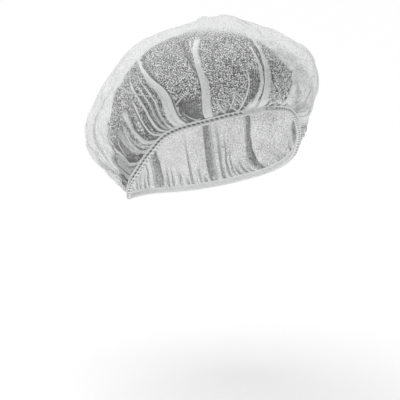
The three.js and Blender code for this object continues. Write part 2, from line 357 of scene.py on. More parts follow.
def stitch_tree():
    """Geometry Nodes tree that lays one bowed thread on every point of a mesh."""
    tree = bpy.data.node_groups.new("stitches", "GeometryNodeTree")
    tree.interface.new_socket("Places", in_out="INPUT", socket_type="NodeSocketGeometry")
    for name in ("Thread radius", "Stitch sag"):
        tree.interface.new_socket(name, in_out="INPUT", socket_type="NodeSocketFloat")
    tree.interface.new_socket("Thread material", in_out="INPUT", socket_type="NodeSocketMaterial")
    tree.interface.new_socket("Stitches", in_out="OUTPUT", socket_type="NodeSocketGeometry")
    nodes, links = tree.nodes, tree.links
    given = nodes.new("NodeGroupInput")

    def stored(name, kind):
        reader = nodes.new("GeometryNodeInputNamedAttribute")
        reader.data_type = kind
        reader.inputs["Name"].default_value = name
        return reader.outputs["Attribute"]

    bow = nodes.new("GeometryNodeCurveQuadraticBezier")
    bow.inputs["Resolution"].default_value = stitch_steps
    bow.inputs["Start"].default_value = (-0.5, 0, 0)
    bow.inputs["End"].default_value = (0.5, 0, 0)
    dip = nodes.new("ShaderNodeCombineXYZ")
    drop = number_node(nodes, links, "MULTIPLY", given.outputs["Stitch sag"], -2.0)
    links.new(drop, dip.inputs["Z"])
    ring = nodes.new("GeometryNodeCurvePrimitiveCircle")
    ring.inputs["Resolution"].default_value = stitch_sides
    links.new(given.outputs["Thread radius"], ring.inputs["Radius"])
    links.new(dip.outputs["Vector"], bow.inputs["Middle"])
    tube = nodes.new("GeometryNodeCurveToMesh")
    tube.inputs["Fill Caps"].default_value = True
    links.new(bow.outputs["Curve"], tube.inputs["Curve"])
    links.new(ring.outputs["Curve"], tube.inputs["Profile Curve"])

    lie = nodes.new("FunctionNodeAlignRotationToVector")
    lie.axis = "X"
    links.new(stored("thread_way", "FLOAT_VECTOR"), lie.inputs["Vector"])
    face = nodes.new("FunctionNodeAlignRotationToVector")
    face.axis = "Z"
    face.pivot_axis = "X"
    links.new(lie.outputs["Rotation"], face.inputs["Rotation"])
    links.new(stored("face_way", "FLOAT_VECTOR"), face.inputs["Vector"])
    uneven = nodes.new("FunctionNodeRandomValue")
    uneven.data_type = "FLOAT"
    limits = {"Min": shortest_stitch, "Max": longest_stitch}
    for socket in uneven.inputs:
        if socket.type == "VALUE" and socket.name in limits:
            socket.default_value = limits[socket.name]
        if socket.name == "Seed":
            socket.default_value = 4
    chance = [socket for socket in uneven.outputs if socket.type == "VALUE"][0]
    size = nodes.new("ShaderNodeCombineXYZ")
    length = number_node(nodes, links, "MULTIPLY", chance, stored("thread_length", "FLOAT"))
    links.new(length, size.inputs["X"])
    size.inputs["Y"].default_value = 1
    size.inputs["Z"].default_value = 1
    lay = nodes.new("GeometryNodeInstanceOnPoints")
    links.new(given.outputs["Places"], lay.inputs["Points"])
    links.new(tube.outputs["Mesh"], lay.inputs["Instance"])
    links.new(face.outputs["Rotation"], lay.inputs["Rotation"])
    links.new(size.outputs["Vector"], lay.inputs["Scale"])
    whole = nodes.new("GeometryNodeRealizeInstances")
    links.new(lay.outputs["Instances"], whole.inputs["Geometry"])
    dress = nodes.new("GeometryNodeSetMaterial")
    links.new(whole.outputs["Geometry"], dress.inputs["Geometry"])
    links.new(given.outputs["Thread material"], dress.inputs["Material"])
    links.new(dress.outputs["Geometry"], nodes.new("NodeGroupOutput").inputs["Stitches"])
    return tree


def stitch_places():
    """Middle, thread direction, facing direction and length of every stitch round the band. All
    face outwards, so the outer ones dip into the puckers and the inner ones stand proud."""
    round_angles, girth = even_angles(round_steps)

    def frame_at(turns):
        angles = np.interp(turns % 1, np.arange(round_steps) / round_steps, round_angles)
        return rim_point(angles), *rim_frame(angles)

    crests = np.arange(pucker_count) + 0.5
    middle, along, outward, across = frame_at((crests - pucker_shift(crests)) / pucker_count)
    way = across * band_height / 2 - along * pucker_slant * pucker_pitch
    length = np.full(pucker_count, outer_stitch_length)
    outer = [middle + outward * band_front * 0.9, unit(way), outward, length]

    count = 2 * round(girth / inner_stitch_pitch / 2)
    middle, along, outward, across = frame_at(np.arange(count) / count)
    slope = np.where(np.arange(count) % 2, 1, -1)[:, None]
    way = across * band_height * 0.75 + along * slope * inner_stitch_pitch
    length = np.full(count, inner_stitch_length)
    inner = [middle - outward * band_back * 0.95, unit(way), outward, length]
    return [np.concatenate(pair) for pair in zip(outer, inner)]


def make_stitches():
    middle, way, facing, length = stitch_places()
    stitches = mesh_object("band_stitches", middle, [], thread_material())
    for name, values in (("thread_way", way), ("face_way", facing)):
        layer = stitches.data.attributes.new(name, "FLOAT_VECTOR", "POINT")
        layer.data.foreach_set("vector", values.astype(np.float32).ravel())
    paint(stitches, "thread_length", length)
    tree = stitch_tree()
    sizes = {
        "Thread radius": thread_radius,
        "Stitch sag": stitch_sag,
        "Thread material": stitches.data.materials[0],
    }
    sewing = stitches.modifiers.new("sewing", "NODES")
    sewing.node_group = tree
    for item in tree.interface.items_tree:
        if item.name in sizes:
            sewing[item.identifier] = sizes[item.name]
    graph = bpy.context.evaluated_depsgraph_get()
    sewn = bpy.data.meshes.new_from_object(stitches.evaluated_get(graph))
    stitches.modifiers.clear()
    stitches.data = sewn
    return stitches


stitch_piece = make_stitches()
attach(stitch_piece, "root")

# Crown
# The crown is one disc of thin white spunbond cloth, 18 inches across when flat. The elastic
# gathers its edge, so the cloth stands off in folds that fan out from the band and close
# towards the crown, and the slack hangs out in puffed bags at the back and the forehead.

cap_width = 202 * mm
cap_length = 238 * mm
crown_rise = 129 * mm
lean_left = 13 * mm
lean_forward = 10 * mm
hem_height = 3 * mm
cloth_stand_off = 1.5 * mm
fold_sweep = 50

# How far the folds swing round towards the nape, as shares of fold_sweep: early on their way
# over the bag, late on the dome, and once more high up
fan_columns = ["angle", "early", "late", "high"]
fan = [
    [0, -0.1, -0.12, 0],
    [12, -0.06, -0.12, 0],
    [30, 0.04, 0.2, 0],
    [45, 0.16, 0.4, 0],
    [66, 0.42, 0.44, 0],
    [92, 0.54, 0.4, 0],
    [130, 0.28, 0.36, 0],
    [150, 0.12, 0.2, 0],
    [172, 0.02, 0.04, 0],
    [190, -0.04, -0.16, 0],
    [214, -0.12, -0.36, 0],
    [245, -0.28, -0.4, 0],
    [257, -0.44, -0.4, 0],
    [270, -0.58, -0.4, 0],
    [282, -0.6, -0.46, 0],
    [293, -0.48, -0.72, -0.06],
    [303, -0.28, -0.92, -0.12],
    [314, -0.24, -0.86, -0.14],
    [328, -0.125, -0.415, 0],
    [345, 0, -0.18, 0],
    [356, -0.1, -0.12, 0],
]

# Profile of the crown from the hem to the top. Rise as a share of the height, then each sector
# from the front round by the left, every 45 degrees: in the bag as a share of the way out from
# the band to the envelope, on the dome as a share of the reach at the bag's top.
bag = [
    [0, 0, 0, 0, 0, 0, 0, 0, 0],
    [0.03, 0.17, 0.35, 0.03, 0.12, 0.05, 0.16, 0.03, 0.15],
    [0.1, 0.4, 0.44, 0.04, 0.36, 0.17, 0.46, 0.2, 0.38],
    [0.22, 0.58, 0.5, 0.2, 0.71, 0.66, 0.93, 0.53, 0.62],
    [0.34, 0.61, 0.6, 0.55, 0.96, 0.98, 1.12, 0.76, 0.73],
]
dome = [
    [0.46, 0.985, 0.985, 1.04, 1.005, 1.005, 0.97, 1.01, 0.99],
    [0.58, 0.93, 0.935, 0.99, 0.97, 0.965, 0.92, 0.98, 0.955],
    [0.7, 0.83, 0.835, 0.9, 0.895, 0.884, 0.835, 0.9, 0.87],
    [0.81, 0.67, 0.64, 0.74, 0.77, 0.755, 0.715, 0.77, 0.73],
    [0.9, 0.485, 0.45, 0.52, 0.555, 0.54, 0.51, 0.55, 0.53],
    [0.96, 0.27, 0.25, 0.28, 0.3, 0.29, 0.28, 0.3, 0.29],
    [0.99, 0.13, 0.12, 0.13, 0.14, 0.135, 0.13, 0.14, 0.135],
    [1, 0, 0, 0, 0, 0, 0, 0, 0],
]
profile = np.array([[0] * 9] + bag + dome)
last_row = len(profile) - 1


def cubic(before, start, end, after, t):
    bend = 2 * before - 5 * start + 4 * end - after
    twist = 3 * start - before - 3 * end + after
    return start + 0.5 * t * (end - before + t * (bend + t * twist))


def sector_share(row, angle):
    place = np.mod(angle, 360) / 45
    k = np.floor(place).astype(int)
    shares = [profile[row, 1 + np.mod(k + step, 8)] for step in (-1, 0, 1, 2)]
    return cubic(*shares, place - k)


def row_place(row, angle):
    """Reach, height and rise of the crown's smooth form in one row of its profile."""
    row = np.clip(row, 0, last_row)
    rim, low = rim_reach(angle), rim_height(angle)
    envelope = ellipse_reach(cap_width / 2, cap_length / 2, angle)
    share = sector_share(row, angle)
    shoulder = rim + (envelope - rim) * sector_share(np.full_like(row, len(bag)), angle)
    reach = np.where(row <= len(bag), rim + (envelope - rim) * share, shoulder * share)
    hem_top = low + hem_height
    rise = profile[row, 0]
    height = np.where(row == 0, low, hem_top + (crown_rise - hem_top) * rise)
    return reach, height, rise


def form(angle, climb):
    """Crown's smooth form: climb 0 at the band, 1 at the crown top."""
    step = climb * last_row
    k = np.minimum(np.floor(step), last_row - 1).astype(int)
    rows = [row_place(k + shift, angle) for shift in (-1, 0, 1, 2)]
    reach, height, rise = (cubic(*(row[part] for row in rows), step - k) for part in range(3))
    turn = np.radians(angle)
    x = reach * np.sin(turn) + lean_left * rise
    y = -reach * np.cos(turn) - lean_forward * rise
    return np.stack([x, y, height], axis=-1)


def form_normal(angle, climb):
    climb = np.minimum(climb, 0.995)
    up, down = np.minimum(climb + 0.02, 0.995), np.maximum(climb - 0.02, 0)
    along = form(angle + 1, climb) - form(angle - 1, climb)
    return unit(np.cross(along, form(angle, up) - form(angle, down)))


def fan_value(name, foot):
    angles = column_of(fan_columns, fan, "angle")
    return round_curve(angles, column_of(fan_columns, fan, name), foot)


def fold_angle(foot, climb):
    """Angle that a fold has reached on its way up, from the place of its foot on the band."""
    early = fan_value("early", foot) * smooth(0, 0.45, climb)
    late = fan_value("late", foot) * smooth(0.35, 0.85, climb)
    return foot + fold_sweep * (early + late + fan_value("high", foot) * smooth(0.56, 0.72, climb))


# Knife pleats: foot in degrees round the band, width of the folded strip in mm, where it opens
# and closes as shares of the climb, and which way it is folded over
pleat_columns = ["foot", "width", "bottom", "top", "way"]
pleats = [
    [311, 13, 0.02, 0.76, -1],
    [327.5, 9.5, 0.02, 0.8, 1],
    [342, 2, 0.1, 0.6, -1],
    [348.6, 5, 0.05, 0.74, -1],
    [355.2, 8, 0.03, 0.8, 1],
    [10, 8, 0.04, 0.86, -1],
    [306.2, 3, 0.01, 0.72, 1],
    [303.8, 2.4, 0.01, 0.66, -1],
    [301.4, 3.6, 0.01, 0.68, -1],
    [298.8, 2.4, 0.01, 0.58, 1],
    [290, 2.6, 0.01, 0.36, -1],
    [295, 5.5, 0.01, 0.5, -1],
    [283, 6, 0.04, 0.42, 1],
    [272.5, 6, 0.03, 0.4, -1],
    [255, 7, 0.03, 0.42, 1],
    [37.5, 9, 0.03, 0.74, 1],
    [60, 10, 0.03, 0.7, -1],
    [92.5, 10, 0.03, 0.6, 1],
    [130, 9, 0.03, 0.64, -1],
    [172.5, 10, 0.03, 0.68, 1],
    [215, 9, 0.03, 0.64, -1],
]

# Small gathers between the pleats. Widths and the room that they need are in mm, where the band
# has mm_in_degree in a degree; their tops are shares of the climb, and tall_share are tall.
gather_pitch = 6.2 * mm
gather_widths = (1.8, 3.8)
least_room = 2.6
mm_in_degree = 1.5
tall_share = 0.35
tall_tops = (0.3, 0.5)
short_tops = (0.18, 0.32)

# Space between the layers of a fold, and the steps of the plain cloth, counted at plain_reach
cloth_gap = 0.5 * mm
plain_step = 2.5 * mm
plain_reach = 85 * mm

# Limits of a folded strip: the least degrees that its columns take where it is closed, the
# least cloth in a degree, and how far it may reach over the gaps beside it
least_spread = 0.15
least_degree = 0.01 * mm
most_strip = 0.62

# Steps through a fold's three layers: 0 to 1 forward, 1 to 2 back, 2 to 3 forward again
pleat_steps = [0, 0.35, 0.7, 0.92, 1.0, 1.08, 1.35, 1.65, 1.92, 2.0, 2.08, 2.35, 2.7, 3]
gather_steps = [0, 0.6, 1.0, 1.12, 1.88, 2.0, 2.15, 3]


def turned(angle, start):
    """Turn from one angle to another, between -180 and 180."""
    return (angle - start + 180) % 360 - 180


def all_folds():
    """The knife pleats, with small gathers between them all round the band."""
    rng = np.random.default_rng(7)
    folds = [dict(zip(pleat_columns, row), steps=pleat_steps) for row in pleats]
    angles = even_angles(round(nominal_girth / gather_pitch))[0]
    for angle in angles + rng.uniform(-1, 1, len(angles)):
        clear = [
            abs(turned(angle, fold["foot"])) * mm_in_degree - fold["width"] / 2 for fold in folds
        ]
        room = min(clear)
        if room < least_room:
            continue
        folds.append({
            "foot": angle % 360,
            "width": min(rng.uniform(*gather_widths), room * 0.7),
            "bottom": rng.uniform(0.0, 0.03),
            "top": rng.uniform(*(tall_tops if rng.random() < tall_share else short_tops)),
            "way": 1 if rng.random() < 0.5 else -1,
            "steps": gather_steps,
        })
    return sorted(folds, key=lambda fold: fold["foot"])


def fold_width(fold, climb):
    opening = smooth(fold["bottom"], fold["bottom"] + 0.12, climb)
    closing = 1 - smooth(fold["top"] - 0.6 * (fold["top"] - fold["bottom"]), fold["top"], climb)
    return fold["width"] * mm * (0.5 + 0.5 * opening) * closing


def foot_degree(foot, climb):
    """Length of cloth, at each climb, between folds whose feet are one degree apart."""
    feet = [np.full_like(climb, foot + turn) for turn in (-0.5, 0.5)]
    sides = [form(fold_angle(side, climb), climb) for side in feet]
    return np.linalg.norm(sides[1] - sides[0], axis=-1)


def plan_columns(folds):
    """Gap in degrees after each fold and how many steps of plain cloth cross it, with the whole
    count of columns a multiple of 4, so that the rings near the top can halve theirs twice."""
    following = folds[1:] + folds[:1]
    gaps = [(after["foot"] - fold["foot"]) % 360 for fold, after in zip(folds, following)]
    steps = [max(3, round(math.radians(gap) * plain_reach / plain_step)) for gap in gaps]
    extra = -sum(plain - 1 + len(fold["steps"]) for plain, fold in zip(steps, folds)) % 4
    for k in sorted(range(len(gaps)), key=lambda k: steps[k] / gaps[k])[:extra]:
        steps[k] += 1
    return gaps, steps


column_notes = ["lift", "crease", "under", "stack", "shade"]


def lay_columns(folds, climb):
    """Every column of the cloth in each row: its foot angle, its lift over the smooth form as a
    count of layers, how near it is to a crease, which hidden layer of a pleat it is in, how far
    it is the outer layer of one, and how deep it lies in the shadow beside one."""
    gaps, plain_steps = plan_columns(folds)
    laid = []
    for k, fold in enumerate(folds):
        steps = np.array(fold["steps"], float)
        width = fold_width(fold, climb)
        closed = (1 - width / (fold["width"] * mm)) ** 2
        around = [gaps[j] / (plain_steps[j] + len(steps)) for j in (k - 1, k)]
        spread = len(steps) * min(around) * closed + least_spread
        degree = np.maximum(foot_degree(fold["foot"], climb), least_degree)
        strip = np.minimum(width / degree, most_strip * (gaps[k - 1] + gaps[k]))
        zigzag = np.where(steps <= 1, steps, np.where(steps <= 2, 2 - steps, steps - 2))
        total = strip + spread
        open_share = smooth(0.2 * mm, 1.2 * mm, width)
        notes = {
            "lift": smooth(0.86, 1.14, steps) + smooth(1.86, 2.14, steps),
            "crease": np.clip(1 - np.minimum(abs(steps - 1), abs(steps - 2)) / 0.3, 0, 1),
            "under": smooth(0, 0.4, steps) + smooth(0.9, 1.1, steps) - 2 * smooth(1.9, 2.1, steps),
            "stack": smooth(1.7, 2.0, steps) * (1 - smooth(2.7, 3, steps)),
            "shade": 0.6 - 0.6 * smooth(0, 0.5, steps),
        }
        fold_notes = {name: values[:, None] * open_share for name, values in notes.items()}
        fold_notes["across"] = zigzag[:, None] * strip + spread * steps[:, None] / 3 - total / 2
        ends = [0 * open_share, 2 * open_share]
        if fold["way"] < 0:
            fold_notes = {name: values[::-1] for name, values in fold_notes.items()}
            fold_notes["across"] = -fold_notes["across"]
            ends.reverse()
        laid.append(dict(fold_notes, total=total, start=ends[0], end=ends[1]))
    feet, notes = [], {name: [] for name in column_notes}
    for k, fold in enumerate(folds):
        this, after = laid[k], laid[(k + 1) % len(folds)]
        feet += list(fold["foot"] + this["across"])
        for name in column_notes:
            notes[name] += list(this[name])
        room = gaps[k] - this["total"] / 2 - after["total"] / 2
        for t in np.arange(1, plain_steps[k]) / plain_steps[k]:
            feet.append(fold["foot"] + this["total"] / 2 + room * t)
            leaving, coming = max(0, 1 - 2.5 * t), max(0, 2.5 * t - 1.5)
            notes["lift"].append(this["end"] * leaving + after["start"] * coming)
            for name in column_notes[1:]:
                notes[name].append(0 * room)
    return np.array(feet), {name: np.array(values) for name, values in notes.items()}


folds = all_folds()
column_count = len(lay_columns(folds, np.array([0.5]))[0])

# Climbs of the cloth's rows: with every column, with every second, and with every fourth
climbs = np.concatenate([
    np.linspace(0.03, 0.08, 6)[:-1],
    np.linspace(0.08, 0.84, 58),
])
top_climbs = np.linspace(0.84, 0.93, 8)[1:]
last_climbs = np.linspace(0.93, 1, 8)[1:-1]

# Soft dents and bulges of the loose cloth: where, how wide and how deep in mm; a negative
# depth is a bulge
dent_columns = ["angle", "climb", "span", "depth"]
dents = [
    [236, 0.37, 27, -5.4],
    [222, 0.22, 24, 4.2],
    [248, 0.27, 21, 3.6],
    [250, 0.56, 30, -2.4],
    [8, 0.66, 27, 5.4],
    [28, 0.6, 24, -1.2],
    [30, 0.42, 21, 2.4],
    [352, 0.86, 24, -4.2],
    [330, 0.5, 36, 2.4],
    [286, 0.8, 33, 2.4],
    [110, 0.5, 33, 3.6],
    [150, 0.42, 30, -3.6],
    [190, 0.56, 36, 4.2],
]


def dent_lift(angle, climb, reach):
    lift = np.zeros_like(angle)
    for row in dents:
        dent = dict(zip(dent_columns, row))
        aside = np.radians(turned(angle, dent["angle"])) * reach
        above = (climb - dent["climb"]) * cap_length / 2
        far = np.hypot(aside, above) / (dent["span"] * mm)
        lift -= dent["depth"] * mm * np.exp(-2 * far * far)
    return lift * smooth(0.12, 0.3, climb)


# Crinkles of the slack cloth in the bags: where, how wide in mm, and how strong
crinkle_columns = ["angle", "climb", "span", "strength"]
crinkle_spots = [
    [14, 0.5, 42, 1.0],
    [242, 0.4, 40, 1.0],
    [100, 0.4, 60, 0.6],
    [170, 0.4, 60, 0.6],
]
least_crinkle = 0.1
crinkle_size = 15 * mm
crinkle_depth = 4.2 * mm
ripple_size = 34 * mm
ripple_depth = 1.3 * mm
flute_size = 6.5 * mm
flute_depth = 1.1 * mm


def crinkle_strength(angle, climb, reach):
    strength = np.full(angle.shape, least_crinkle)
    for row in crinkle_spots:
        spot = dict(zip(crinkle_columns, row))
        aside = np.radians(turned(angle, spot["angle"])) * reach
        above = (climb - spot["climb"]) * cap_length / 2
        far = np.hypot(aside, above) / (spot["span"] * mm)
        strength = np.maximum(strength, spot["strength"] * np.exp(-far * far))
    return strength


def crinkle_lift(points, strength, climb):
    flat = points.reshape(-1, 3)
    sharp = noise_at(flat / crinkle_size)
    fine = noise_at(flat / (crinkle_size * 0.45) + 7)
    soft = noise_at(flat / ripple_size + 3)
    ridges = (0.5 - np.abs(sharp) * 2) + 0.4 * (0.5 - np.abs(fine) * 2)
    lift = crinkle_depth * strength.ravel() * ridges + ripple_depth * soft
    return lift.reshape(climb.shape) * smooth(0.03, 0.2, climb)


# Feet between which the fan of thin folds at the temple begins and ends, and climbs up to which
# the gathered cloth reaches: all round, and how much further in the fan
fan_begins = (284, 292)
fan_ends = (309, 315)
gather_climb = 0.26
fan_climb = 0.4


def gather_strength(foot, climb):
    """How strongly the cloth is gathered: from the band some way up, and highest in the fan."""
    fan_share = smooth(*fan_begins, foot % 360) * (1 - smooth(*fan_ends, foot % 360))
    height = gather_climb + fan_climb * fan_share
    return 1 - smooth(0.2 * height, height, climb)


# Places where the cloth lies doubled, or hollow between folds: between which feet and climbs,
# how far it is doubled, how bright its creases and how dark the painted shade in its hollow is
patch_columns = ["start", "end", "low", "high", "stack", "crease", "shade"]
patches = [
    [284, 288.5, 0.1, 0.34, 0, 0, 0.7],
    [288.5, 293, 0.08, 0.38, 0.9, 0, 0.4],
    [270, 283, 0.04, 0.3, 0.8, 0, 0.45],
    [262, 269, 0.05, 0.24, 0, 0, 0.75],
    [246, 261, 0.02, 0.3, 0.5, 0, 0.4],
    [307.4, 308.4, 0.06, 0.52, 0, 0, 0.9],
    [304.7, 305.3, 0.05, 0.42, 0, 0, 0.7],
    [302.5, 303, 0.05, 0.46, 0, 0, 0.9],
    [299.8, 300.4, 0.04, 0.4, 0, 0, 0.8],
    [296.6, 297.8, 0.03, 0.28, 0, 0, 0.8],
    [316, 324.5, 0.05, 0.34, 0, 0, 0.88],
    [332, 335, 0.03, 0.16, 0, 0, 0.9],
    [336.5, 341, 0.02, 0.2, 0, 0, 0.9],
    [312.5, 315, 0.02, 0.1, 0, 0, 0.8],
    [318, 324, 0.03, 0.08, 0, 0, 0.9],
    [343, 346.5, 0.1, 0.46, 0, 0, 0.6],
    [350.8, 352.2, 0.14, 0.66, 0, 0, 0.5],
    [345, 359, 0.04, 0.24, 1, 0.6, 0],
    [343, 369, 0, 0.075, 1, 0.3, 0],
    [361, 364.5, 0.075, 0.14, 0, 0, 0.75],
    [366.5, 371.5, 0.085, 0.14, 0, 0, 0.65],
    [360, 378, 0.17, 0.19, 1, 1, 0],
    [375, 392, 0.04, 0.22, 0.8, 0, 0.6],
]

# Soft edges of these places, in degrees and as a share of the climb
patch_edge = 0.45
patch_rise = 0.025


def add_patches(notes, foot, climb):
    for row in patches:
        patch = dict(zip(patch_columns, row))
        turn = turned(foot, patch["start"])
        share = smooth(-patch_edge, patch_edge, turn)
        share *= 1 - smooth(-patch_edge, patch_edge, turn - (patch["end"] - patch["start"]))
        share *= smooth(-patch_rise, patch_rise, climb - patch["low"])
        share *= 1 - smooth(-patch_rise, patch_rise, climb - patch["high"])
        for name in patch_columns[4:]:
            notes[name] = np.maximum(notes[name], share * patch[name])


# Roll of loose cloth that falls over the band above the forehead
roll_start = 343
roll_end = 369
roll_drop = 2.0 * mm
roll_stand_off = 2.9 * mm


def roll_share(angle, climb):
    turn = turned(angle, roll_start)
    span = roll_end - roll_start
    share = smooth(0, 5, turn) * (1 - smooth(span - 8, span, turn))
    return share * (1 - smooth(0.035, 0.1, climb))


# Climb up to which the cloth lies close and even, and how close, which is how much painted
# shade its thin places carry; above it, and in the bags, it hangs slack
close_columns = ["angle", "climb", "most"]
close_limits = [
    [3, 0.48, 1],
    [9, 0.25, 1],
    [20, 0.05, 1],
    [34, 0.03, 0.8],
    [50, 0.2, 0.7],
    [64, 0.5, 0.62],
    [80, 0.66, 0.62],
    [100, 0.68, 0.62],
    [122, 0.66, 0.6],
    [150, 0.6, 0.5],
    [180, 0.5, 0.45],
    [205, 0.25, 0.4],
    [222, 0.02, 0.5],
    [243, 0.08, 1],
    [252, 0.3, 1],
    [258, 0.56, 1],
    [266, 0.72, 1],
    [282, 0.79, 1],
    [305, 0.79, 1],
    [325, 0.76, 1],
    [345, 0.7, 1],
    [356, 0.61, 1],
]


def close_value(name, angle):
    angles = column_of(close_columns, close_limits, "angle")
    return round_curve(angles, column_of(close_columns, close_limits, name), angle)


def closeness(angle, climb):
    limit = close_value("climb", angle)
    return close_value("most", angle) * (1 - smooth(limit - 0.05, limit + 0.05, climb))


def on_cloth(foot, climb, above):
    """Points above the smooth, dented and crinkled form, with its normals, the angle that each
    point has reached, and how crinkled the cloth is there."""
    angle = fold_angle(foot, climb)
    base = form(angle, climb)
    normal = form_normal(angle, climb)
    reach = np.hypot(base[..., 0], base[..., 1])
    crinkled = crinkle_strength(angle, climb, reach)
    lift = dent_lift(angle, climb, reach) + crinkle_lift(base, crinkled, climb) + above
    held = cloth_stand_off * (1 - smooth(0.3, 0.7, climb))
    points = base + normal * lift[..., None] + rim_frame(angle)[1] * held[..., None]
    return points, normal, angle, crinkled


def cloth_points(columns, climb_rows):
    """Points of the folded cloth, one row for each climb, with the values its material reads."""
    feet, notes = lay_columns(folds, climb_rows)
    foot = feet.T[:, columns]
    notes = {name: values.T[:, columns] for name, values in notes.items()}
    climb = np.broadcast_to(climb_rows[:, None], foot.shape)
    gathered = gather_strength(foot, climb)
    add_patches(notes, foot, climb)
    turn = 2 * np.pi * columns / column_count
    round_cloth = column_count * plain_step / (2 * np.pi)
    flat = np.stack([np.cos(turn) * round_cloth, np.sin(turn) * round_cloth], axis=-1)
    flutes = noise_at((*(place / flute_size), 0.5) for place in flat)
    layers = notes["lift"] * (0.4 + 0.6 * smooth(0.05, 0.15, climb))
    fluted = flute_depth * flutes * gathered * smooth(0.06, 0.12, climb)
    points, _, angle, crinkled = on_cloth(foot, climb, layers * cloth_gap + fluted)
    outward, across = rim_frame(angle)[1:]
    roll = roll_share(angle, climb)[..., None]
    points += outward * roll_stand_off * roll - across * roll_drop * roll
    notes.update(close=closeness(angle, climb), gathered=gathered, crinkled=crinkled)
    notes["flat_x"] = np.broadcast_to(flat[:, 0], foot.shape)
    notes["flat_y"] = np.broadcast_to(flat[:, 1], foot.shape)
    notes["climb"] = climb
    return points, notes


def ring_faces(low, high):
    """Faces between a ring of points and the next above, with as many points or half as many."""
    if len(low) == len(high):
        return np.stack([low, np.roll(low, -1), np.roll(high, -1), high], axis=-1).tolist()
    faces = []
    for k in range(len(high)):
        start, middle, end = low[2 * k], low[2 * k + 1], low[(2 * k + 2) % len(low)]
        above = high[(k + 1) % len(high)]
        faces += [[start, middle, high[k]], [middle, above, high[k]], [middle, end, above]]
    return faces


# Values that the cloth's material reads at each of its points
painted_notes = [
    "crease", "under", "stack", "shade", "close", "gathered", "crinkled",
    "flat_x", "flat_y", "climb",
]
speck_size = 1.06 * mm
strand_size = 0.35 * mm
cloud_size = 18 * mm
streak_size = 1.9 * mm
streak_stretch = 12 * mm
facet_size = 11 * mm
crush_size = 7 * mm
layer_shift = [9 * mm, 7 * mm, 5 * mm]


